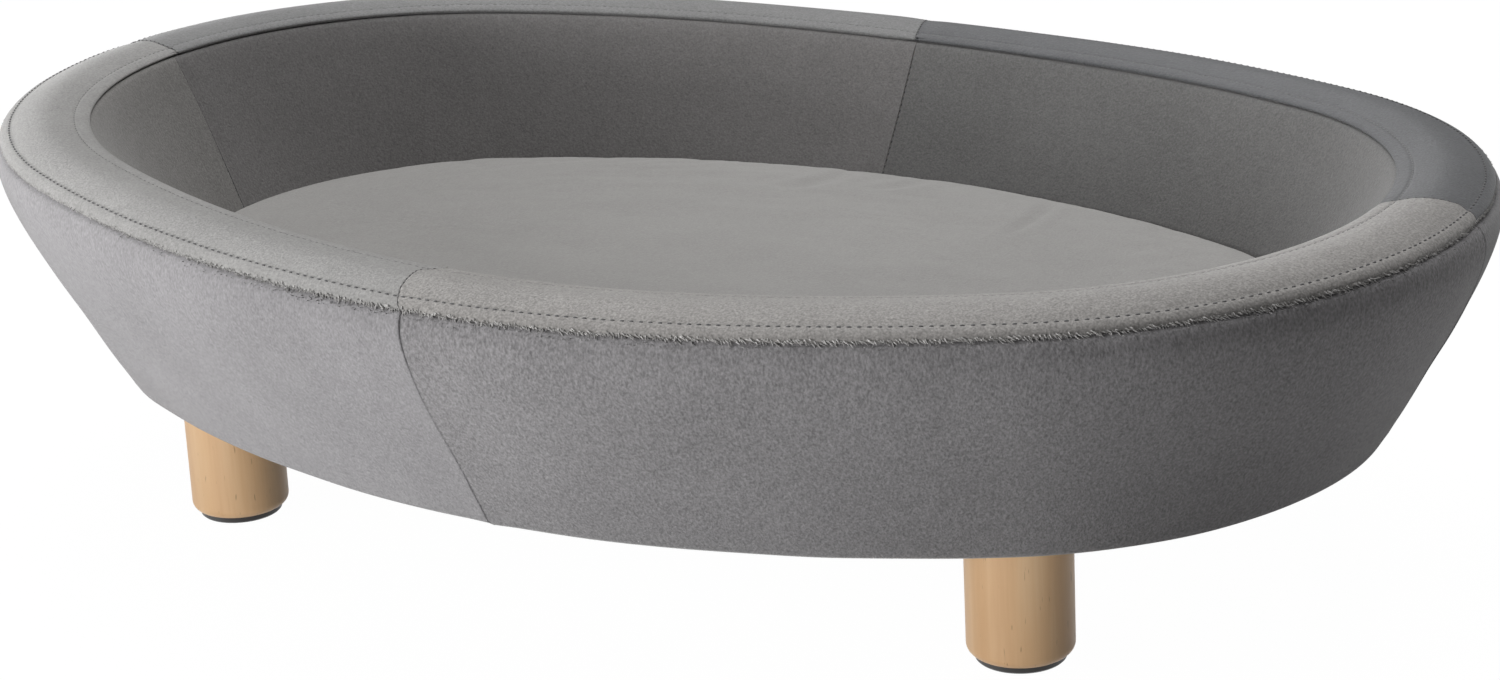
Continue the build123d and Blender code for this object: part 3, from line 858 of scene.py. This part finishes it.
def new_tree(name, mesh, numbers, material, made):
    """A geometry nodes tree with its inputs: a mesh, numbers, a seed and a material."""
    tree = bpy.data.node_groups.new(name, "GeometryNodeTree")
    floats = dict.fromkeys(numbers, "Float")
    inputs = {mesh: "Geometry", **floats, "Seed": "Int", material: "Material"}
    for label, kind in inputs.items():
        kind = f"NodeSocket{kind}"
        socket = tree.interface.new_socket(label, in_out="INPUT", socket_type=kind)
        if label in numbers:
            socket.default_value = numbers[label]
    tree.interface.new_socket(made, in_out="OUTPUT", socket_type="NodeSocketGeometry")
    return tree, add_node(tree, "NodeGroupInput").outputs


# A random value node's sockets for its low end, its high end and its result, by kind
RANDOM_SOCKETS = {"FLOAT_VECTOR": (0, 1, 0), "FLOAT": (2, 3, 1)}


def both_ways(tree, given, name, kind):
    """A random value for each point, from minus to plus the value of an input."""
    low, high, result = RANDOM_SOCKETS[kind]
    flip = add_node(tree, "ShaderNodeMath", {0: given[name], 1: -1.0}, operation="MULTIPLY")
    sockets = {low: flip, high: given[name], "Seed": given["Seed"]}
    return add_node(tree, "FunctionNodeRandomValue", sockets, data_type=kind).outputs[result]


def stitch_tree():
    """Geometry nodes: thread stitches laid end to end along a line."""
    numbers = {"Pitch": 0.0045, "Stitch Length": 0.0024, "Thread Width": 0.0009, "Slant": 0.15}
    tree, given = new_tree("thread_stitches", "Line", numbers, "Thread", "Stitches")
    line = add_node(tree, "GeometryNodeMeshToCurve", {"Mesh": given["Line"]})
    sockets = {"Curve": line, "Length": given["Pitch"]}
    places = add_node(tree, "GeometryNodeCurveToPoints", sockets, mode="LENGTH").outputs
    ball = {"Segments": 7, "Rings": 5, "Radius": 0.5}
    ball = add_node(tree, "GeometryNodeMeshUVSphere", ball)
    smooth = add_node(tree, "GeometryNodeSetShadeSmooth", {0: ball})
    width = given["Thread Width"]
    size = add_node(tree, "ShaderNodeCombineXYZ", {0: width, 1: width, 2: given["Stitch Length"]})
    slant = both_ways(tree, given, "Slant", "FLOAT")
    lean = add_node(tree, "ShaderNodeCombineXYZ", {0: slant, 1: slant})
    sockets = {"Points": places["Points"], "Rotation": places["Rotation"]}
    sockets.update({"Instance": smooth, "Scale": size})
    laid = add_node(tree, "GeometryNodeInstanceOnPoints", sockets)
    turned = add_node(tree, "GeometryNodeRotateInstances", {"Instances": laid, "Rotation": lean})
    return finished_tree(tree, turned, given["Thread"])


def finished_tree(tree, instances, material):
    """End a tree in Realize Instances and Set Material."""
    real = add_node(tree, "GeometryNodeRealizeInstances", {0: instances})
    painted = add_node(tree, "GeometryNodeSetMaterial", {"Geometry": real, "Material": material})
    add_node(tree, "NodeGroupOutput", {0: painted})
    return tree


def tuft_tree():
    """Geometry nodes: tapered tufts of pile that stand along each point's lay."""
    numbers = {"Tuft Length": 0.0036, "Tuft Width": 0.0007, "Scatter": 0.45}
    tree, given = new_tree("pile_tufts", "Roots", numbers, "Pile", "Tufts")
    cone = {"Vertices": 4, "Side Segments": 2, "Radius Top": 0.08, "Radius Bottom": 0.5, "Depth": 1.0}
    blade = add_node(tree, "GeometryNodeMeshCone", cone, fill_type="NONE")
    attribute = "GeometryNodeInputNamedAttribute"
    lay = add_node(tree, attribute, {"Name": "lay"}, data_type="FLOAT_VECTOR")
    size = add_node(tree, attribute, {"Name": "size"}, data_type="FLOAT")
    stray = both_ways(tree, given, "Scatter", "FLOAT_VECTOR")
    way = add_node(tree, "ShaderNodeVectorMath", {0: lay, 1: stray}, operation="ADD")
    turn = add_node(tree, "FunctionNodeAlignRotationToVector", {"Vector": way}, axis="Z")
    sockets = {0: given["Tuft Length"], 1: size}
    long = add_node(tree, "ShaderNodeMath", sockets, operation="MULTIPLY")
    width = given["Tuft Width"]
    scale = add_node(tree, "ShaderNodeCombineXYZ", {0: width, 1: width, 2: long})
    sockets = {"Points": given["Roots"], "Instance": blade, "Rotation": turn, "Scale": scale}
    laid = add_node(tree, "GeometryNodeInstanceOnPoints", sockets)
    return finished_tree(tree, laid, given["Pile"])


def grown(name, mesh, tree, values):
    """Run a geometry nodes tree on a mesh and keep the result as a plain mesh piece."""
    start = linked(name + "_start", mesh)
    modifier = start.modifiers.new("grown", "NODES")
    modifier.node_group = tree
    for socket in tree.interface.items_tree:
        if socket.in_out == "INPUT" and socket.name in values:
            modifier[socket.identifier] = values[socket.name]
    bpy.context.view_layer.update()
    depsgraph = bpy.context.evaluated_depsgraph_get()
    made = bpy.data.meshes.new_from_object(start.evaluated_get(depsgraph))
    bpy.data.objects.remove(start)
    made.name = name
    return riding(name, made, "bed")


def round_the_bed(kind, u, z, proud):
    """A closed line over all four panels of one kind, along the row nearest to u and z."""
    lines = []
    for quarter in QUARTERS:
        points, line = grids[kind, quarter]
        row = np.argmin(np.hypot(line[:, 0] - u, line[:, 1] - z))
        lines.append((points + grid_normals(points) * proud)[4:-4, row])
    return np.concatenate(lines)


# Thread whose dark tone is partly the thread's own and partly painted shade, standing for the dark
# holes and seams the stitches sit in. The grey thread of the inner topstitch is the same, only
# lighter.
HOLE_SHADE_THREAD = thread("thread_painted_hole_shade", (0.055, 0.054, 0.055))
PALE_HOLE_SHADE_THREAD = thread("grey_thread_painted_hole_shade", (0.13, 0.128, 0.127))
stitches = stitch_tree()
# Stitches, each by its pitch, length and thread width
OUTER_TOPSTITCH = (0.0043, 0.0022, 0.0011)
INNER_TOPSTITCH = (0.0040, 0.0026, 0.0007)
SEAM_STITCH = (0.0036, 0.0016, 0.0006)
# The rows between which a quarter's seam shows its stitches
SEAM_RUNS = {"outer_cover": (7, 44), "well_cover": (7, 40), "rim_cover": (12, 52)}


def stitched(name, points, closed, stitch, seed, material):
    """Sew along a line of points."""
    count = len(points)
    edges = [(i, (i + 1) % count) for i in range(count if closed else count - 1)]
    values = dict(zip(("Pitch", "Stitch Length", "Thread Width"), stitch))
    values.update({"Seed": seed, "Thread": material})
    grown(name, mesh_of(name, points, edges), stitches, values)


line = round_the_bed("rim_cover", OUTER_STITCH_U, 0.1928, 0.0001)
stitched("outer_topstitch", line, True, OUTER_TOPSTITCH, 3, HOLE_SHADE_THREAD)
line = round_the_bed("rim_cover", INNER_STITCH_U, 0.1945, 0.0)
stitched("inner_topstitch", line, True, INNER_TOPSTITCH, 4, PALE_HOLE_SHADE_THREAD)
for number, (quarter, (start, stop)) in enumerate(QUARTERS.items()):
    for kind, (first, last) in SEAM_RUNS.items():
        points = grids[kind, quarter][0]
        run = (points + grid_normals(points) * 0.0002)[-3, first:last]
        name = f"{kind.split('_')[0]}_seam_stitches_{stop}"
        stitched(name, run, False, SEAM_STITCH, number, HOLE_SHADE_THREAD)


# The fringe under the rim: how far its tufts stray along it, in spacings, and up and down, and
# how many clumps there are to the metre
TUFT_STRAY = 0.4
ROOT_SCATTER = 0.0010
CLUMPS = 90
# Where the fringe is worn short: a direction, and the cosines where that begins and grows
WORN_PLACES = ((190, 0.35, 0.5), (60, 0.25, 0.4))
WORN_SHARE = 0.75


def seam_tufts(name, kind, u, z, droop, spacing, length, width, seed, pile):
    """Ragged pile that stands out of the sewn edge under the rim."""
    points = round_the_bed(kind, u, z, -0.0001)
    closed = np.concatenate([points, points[:1]])
    lengths = lengths_along(closed)
    draw = np.random.default_rng(seed)
    places = np.arange(0, lengths[-1], spacing)
    places = places + draw.uniform(-TUFT_STRAY, TUFT_STRAY, len(places)) * spacing
    places = np.clip(places, 0, lengths[-1])
    roots = np.stack([np.interp(places, lengths, closed[:, axis]) for axis in range(3)], axis=1)
    roots[:, 2] += draw.uniform(-ROOT_SCATTER, ROOT_SCATTER, len(roots))
    angle = np.arctan2(roots[:, 1], roots[:, 0])
    level = np.zeros(len(angle))
    ahead = np.stack([-np.sin(angle), np.cos(angle), level], axis=1)
    outwards = np.stack([np.cos(angle), np.sin(angle), level], axis=1)
    clump = np.array([noise.noise(Vector((place * CLUMPS, seed, 0))) for place in places])
    lay = outwards * 0.8 + ahead * (0.45 + 0.6 * clump)[:, None] + np.array((0, 0, droop))
    lay = lay / np.linalg.norm(lay, axis=1, keepdims=True)
    worn = level
    for direction, start, growth in WORN_PLACES:
        near = (np.cos(angle - math.radians(direction)) - start) / growth
        worn = np.maximum(worn, np.clip(near, 0, 1))
    size = 0.75 + 0.45 * clump + draw.uniform(-0.25, 0.25, len(roots))
    size = size * (1 - WORN_SHARE * worn)
    mesh = mesh_of(name, roots)
    kept = mesh.attributes.new("lay", "FLOAT_VECTOR", "POINT")
    kept.data.foreach_set("vector", lay.astype(np.float32).ravel())
    kept = mesh.attributes.new("size", "FLOAT", "POINT")
    kept.data.foreach_set("value", size.astype(np.float32))
    values = {"Tuft Length": length, "Tuft Width": width, "Scatter": 0.4, "Seed": seed, "Pile": pile}
    grown(name, mesh, tufts, values)


def pile(name, dark, light):
    paint = Paint(name, 0.9, Sheen_Weight=0.3, Sheen_Roughness=0.4)
    clump = paint.noise(0.0022, detail=3.0, rough=0.7)
    tone = paint.noise(0.05, detail=1.0)
    paint.colour(paint.mix(paint.between(0.35, 0.65, clump * 0.8 + tone * 0.2), dark, light))
    return paint.material


tufts = tuft_tree()
# Painted sheen: a pale copy of the pile, lighter than the velvet it grows from, for the light that
# its loose fibres catch
SHEEN_PILE = pile("seam_pile_painted_sheen", (0.28, 0.274, 0.266), (0.52, 0.51, 0.50))
# Painted shadow: a near-black copy of the pile that stands for the shade under the rim's sewn edge
SHADOW_PILE = pile("seam_pile_painted_shadow", (0.055, 0.054, 0.053), (0.20, 0.197, 0.194))
# By name of fringe: the cover it grows from, u, z, droop, spacing, length, width, seed and pile
FRINGES = {
    # painted sheen: pale tufts lighter than the rim velvet they grow from
    "rim_pile_upper": ("rim_cover", -0.0068, 0.1883, -0.55, 0.0008, 0.0026, 0.0008, 21, SHEEN_PILE),
    "rim_pile_lower": ("rim_cover", -0.0076, 0.1873, -0.70, 0.0007, 0.0044, 0.0009, 22, SHEEN_PILE),
    # painted shadow: dark tufts for the shade under the rim's sewn edge
    "seam_pile_shadow": ("outer_cover", -0.0068, 0.1859, 0.15, 0.0012, 0.0032, 0.0008, 23, SHADOW_PILE),
}
for name, fringe in FRINGES.items():
    seam_tufts(name, *fringe)


def depth_inside(points):
    """How far each flat point lies inside the rim outline."""
    points = np.asarray(points, float)
    depth = np.full(len(points), 9.0)
    for x, y, radius, first, last in ARCS[1:]:
        offset = points - np.array((x, y))
        inside = radius - np.hypot(offset[:, 0], offset[:, 1])
        if x == 0:
            depth = np.minimum(depth, inside)
        else:
            turn = np.degrees(np.arctan2(offset[:, 1], offset[:, 0] * math.copysign(1, x)))
            facing = np.abs(turn) < last - 180 if x < 0 else np.abs(turn) < last - 360
            depth = np.where(facing, np.minimum(depth, inside), depth)
    return depth


# Points round a flat cloth's edge and round a hole, and the step of the net between them
CLOTH_EDGE_POINTS = 240
HOLE_POINTS = 48
CLOTH_STEP = 0.014


def clear_of(points, inset, holes, gap):
    """Which flat points keep this gap from the cloth's edge and from its holes."""
    clear = depth_inside(points) > inset + gap
    for x, y, radius in holes:
        clear &= np.hypot(points[:, 0] - x, points[:, 1] - y) > radius + gap
    return clear


def flat_cloth(name, slot, inset, top, thickness, holes, material):
    """A flat cloth cut to the outline, with round holes, and its area."""
    feet, outwards = rim_line(all_round(CLOTH_EDGE_POINTS))
    rim = feet - outwards * inset
    loops = [rim]
    turn = np.linspace(0, 2 * math.pi, HOLE_POINTS, endpoint=False)
    for x, y, radius in holes:
        loops.append(np.stack([x + radius * np.cos(turn), y + radius * np.sin(turn)], axis=1))
    edges = []
    for loop in loops:
        first = len(edges)
        edges += [(first + i, first + (i + 1) % len(loop)) for i in range(len(loop))]
    across = np.arange(-RIM_LENGTH / 2, RIM_LENGTH / 2, CLOTH_STEP)
    inner = np.array([(x, y) for x in across for y in across])
    inner = inner[clear_of(inner, inset, holes, CLOTH_STEP * 0.6)]
    points = [Vector(point) for point in np.concatenate([*loops, inner])]
    made = geometry.delaunay_2d_cdt(points, edges, [], 0, 1e-6)
    corners = np.array([tuple(corner) for corner in made[0]])
    middles = np.array([corners[list(face)].mean(axis=0) for face in made[2]])
    kept = clear_of(middles, inset, holes, 0)
    faces = [tuple(face) for face, keep in zip(made[2], kept) if keep]
    flat = np.concatenate([corners, np.full((len(corners), 1), top)], axis=1)
    piece = piece_of(name, flat, faces, "bed", slot, material)
    merged(piece)
    thickened(piece, thickness)
    x, y = rim.T
    area = 0.5 * abs(np.sum(x * np.roll(y, -1) - y * np.roll(x, -1)))
    return piece, float(area - sum(math.pi * radius**2 for _, _, radius in holes))


DECK_INSET = 0.1329
DECK_TOP = 0.0838
DUST_INSET = 0.0641
DUST_TOP = 0.0679
DUST_THICKNESS = 0.0008
LEG_HOLE_RADIUS = 0.0265
LEG_PLACES = [(x, y) for x in (-0.225, 0.225) for y in (-0.122, 0.122)]
FELT = fibre_cloth("deck_felt", (0.10, 0.10, 0.105), 0.0014)
NON_WOVEN = fibre_cloth("dust_cloth", (0.018, 0.018, 0.019), 0.0009)

deck, area = flat_cloth("deck_felt", "felt", DECK_INSET, DECK_TOP, VELVET, (), FELT)
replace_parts(deck, "deck_cloth")

holes = [(x, y, LEG_HOLE_RADIUS) for x, y in LEG_PLACES]
dust, area = flat_cloth(
    "dust_cloth", "dust_cloth", DUST_INSET, DUST_TOP, DUST_THICKNESS, holes, NON_WOVEN
)
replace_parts(dust, "dust_cover")


ZIP_U = -0.1070
ZIP_HEIGHT = 0.0991
TAPE_DEPTH = 0.0018
TAPE_THICKNESS = 0.0008
TAPE_START = 0.0028
TAPE_STOP = 0.0088
TAPE_COLUMNS = 120
TAPE_ROWS = 5


def in_zip(directions, height):
    """Points of the tapes behind the cushion's band, by height along its lean."""
    lean = math.atan(WELL_LEAN)
    u = ZIP_U - TAPE_DEPTH * math.cos(lean) + height * math.sin(lean)
    z = ZIP_HEIGHT + TAPE_DEPTH * math.sin(lean) + height * math.cos(lean)
    return stood_out(directions, u, z)


directions = np.linspace(ZIP_START - ZIP_ROOM, ZIP_STOP + ZIP_ROOM, TAPE_COLUMNS)
vertices = []
faces = []
for side in (-1, 1):
    height = side * np.linspace(TAPE_START, TAPE_STOP, TAPE_ROWS)
    tape = in_zip(directions, height).reshape(-1, 3)
    for face in grid_faces(TAPE_COLUMNS, TAPE_ROWS):
        face = face if side < 0 else face[::-1]
        faces.append(tuple(corner + len(vertices) for corner in face))
    vertices += [tuple(point) for point in tape]
tape = piece_of("zip_tapes", vertices, faces, "cushion", "zip_cloth", woven_tape())
thickened(tape, TAPE_THICKNESS)
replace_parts(tape, "zip_tape")


def dressed(material, *names):
    """Give CAD nodes their finish."""
    for name in names:
        mesh = NODES[name].data
        mesh.materials.clear()
        mesh.materials.append(material)


CORNERS = ("front_left", "front_right", "back_left", "back_right")
ZINC = metal("zinc_plate", (0.62, 0.64, 0.66), 0.35)
dressed(leg_wood(), *[f"leg_{corner}" for corner in CORNERS])
GLIDE = plastic("glide_plastic", (0.022, 0.020, 0.019), 0.45)
dressed(GLIDE, *[f"glide_{corner}" for corner in CORNERS])
dressed(plywood(), "floor_board", "top_ring", *[f"wall_rib_{number}" for number in range(1, 13)])
FIBREBOARD = speckled(
    "bent_fibreboard", 0.7, 0.0018, 0.06, (0.20, 0.115, 0.055), (0.36, 0.235, 0.125), 0.0002, 0.5
)
dressed(FIBREBOARD, "outer_skin", "inner_skin")
dressed(ZINC, "leg_bolts", "leg_nuts", "staples")
dressed(plastic("zip_nylon", (0.075, 0.075, 0.08), 0.4), "zip_chain")
dressed(metal("zip_slider_metal", (0.34, 0.34, 0.35), 0.4), "zip_slider")

# The photograph's camera, solved from the object's own lines
PICTURE_WIDTH = 1500
FOCAL_PIXELS = 3380
CAMERA_OFF_CENTRE = (-42.517, -46.615)
CAMERA_TILT = 1.2575
CAMERA_ROLL = -0.0530
CAMERA_TURN = 0.5538
CAMERA_PLACE = (0.8538836, -1.3938583, 0.6387136)


def place_camera():
    camera = bpy.data.cameras.new("camera")
    camera.sensor_width = 36
    camera.lens = FOCAL_PIXELS / PICTURE_WIDTH * camera.sensor_width
    camera.shift_x = -CAMERA_OFF_CENTRE[0] / PICTURE_WIDTH
    camera.shift_y = CAMERA_OFF_CENTRE[1] / PICTURE_WIDTH
    camera.clip_end = 50
    SCENE.camera = linked("camera", camera)
    turn = Matrix.Rotation(CAMERA_TURN, 4, "Z") @ Matrix.Rotation(CAMERA_TILT, 4, "X")
    turn = turn @ Matrix.Rotation(CAMERA_ROLL, 4, "Z")
    SCENE.camera.matrix_world = Matrix.Translation(CAMERA_PLACE) @ turn


# Softboxes, each by its place, aim, width, height and watts, and whether it lights the legs
# alone or everything but the legs
SOFTBOXES = {
    "overhead": ((-0.25, 0.65, 2.4), (0, 0, 0.1), 2.4, 1.8, 63, None),
    "low_key": ((-1.6, -2.3, 0.3), (0, 0, 0.06), 1.2, 0.5, 53, "EXCLUDE"),
    "side_key": ((-2.4, -1.6, 0.65), (0, 0, 0.1), 1.6, 1.1, 28, "EXCLUDE"),
    "front_key": ((-1.2, -2.6, 0.7), (0, 0, 0.1), 1.6, 1.1, 12, None),
    "leg_fill": ((-0.30, -1.9, 0.10), (0, 0, 0.03), 1.0, 0.16, 15, "INCLUDE"),
}
# The floor: its paper's darkest and lightest tone, its reach, and how far it is seen as white
PAPER_TONES = (0.64, 0.67)
FLOOR_REACH = 6.0
FLOOR_GLOW = 0.97
GLOW_STRENGTH = 1.02
WORLD_LIGHT = 0.05


def softbox(name, place, aim, width, height, power, legs_state):
    """A rectangular studio light that points at aim."""
    light = bpy.data.lights.new(name, "AREA")
    light.shape = "RECTANGLE"
    light.size = width
    light.size_y = height
    light.energy = power
    holder = linked(name, light)
    holder.location = place
    holder.rotation_euler = (Vector(aim) - Vector(place)).to_track_quat("-Z", "Y").to_euler()
    if legs_state:
        legs = bpy.data.collections.new(f"legs_for_{name}")
        for corner in CORNERS:
            legs.objects.link(NODES[f"leg_{corner}"])
        for entry in legs.collection_objects:
            entry.light_linking.link_state = legs_state
        holder.light_linking.receiver_collection = legs


def seen_white(tree):
    """1 for the rays that see the background itself, straight or in gloss or glass."""
    path = add_node(tree, "ShaderNodeLightPath").outputs
    sockets = {0: path["Is Camera Ray"], 1: path["Is Glossy Ray"]}
    first = add_node(tree, "ShaderNodeMath", sockets, operation="MAXIMUM")
    sockets = {0: first, 1: path["Is Transmission Ray"]}
    return add_node(tree, "ShaderNodeMath", sockets, operation="MAXIMUM")


def paper_floor():
    """A pale paper floor that shows white to the camera but keeps the object's shadow."""
    reach = FLOOR_REACH
    corners = [(-reach, -reach, 0), (reach, -reach, 0), (reach, reach, 0), (-reach, reach, 0)]
    mesh = mesh_of("studio_floor", corners, faces=[(0, 1, 2, 3)])
    ground = linked("studio_floor", mesh)
    material = bpy.data.materials.new("floor_paper")
    material.use_nodes = True
    tree = material.node_tree
    tree.nodes.clear()
    fibres = add_node(tree, "ShaderNodeTexNoise", {"Scale": 9.0, "Detail": 4.0})
    stops = [(end, (tone, tone, tone, 1)) for end, tone in enumerate(PAPER_TONES)]
    tone = add_node(tree, "ShaderNodeValToRGB", {0: fibres}, stops=stops)
    paper = add_node(tree, "ShaderNodeBsdfDiffuse", {"Color": tone})
    glow = add_node(tree, "ShaderNodeEmission", {"Strength": GLOW_STRENGTH})
    sockets = {0: seen_white(tree), 1: FLOOR_GLOW}
    share = add_node(tree, "ShaderNodeMath", sockets, operation="MULTIPLY")
    mix = add_node(tree, "ShaderNodeMixShader", {0: share, 1: paper, 2: glow})
    add_node(tree, "ShaderNodeOutputMaterial", {"Surface": mix})
    mesh.materials.append(material)


def studio():
    SCENE.view_settings.view_transform = "Standard"
    world = bpy.data.worlds.new("studio")
    SCENE.world = world
    world.use_nodes = True
    tree = world.node_tree
    tree.nodes.clear()
    background = "ShaderNodeBackground"
    plain = add_node(tree, background, {"Color": (1, 1, 1, 1), "Strength": WORLD_LIGHT})
    white = add_node(tree, background, {"Color": (1, 1, 1, 1), "Strength": 1.0})
    mix = add_node(tree, "ShaderNodeMixShader", {0: seen_white(tree), 1: plain, 2: white})
    add_node(tree, "ShaderNodeOutputWorld", {"Surface": mix})
    for name, lit in SOFTBOXES.items():
        softbox(name, *lit)
    paper_floor()


place_camera()
studio()
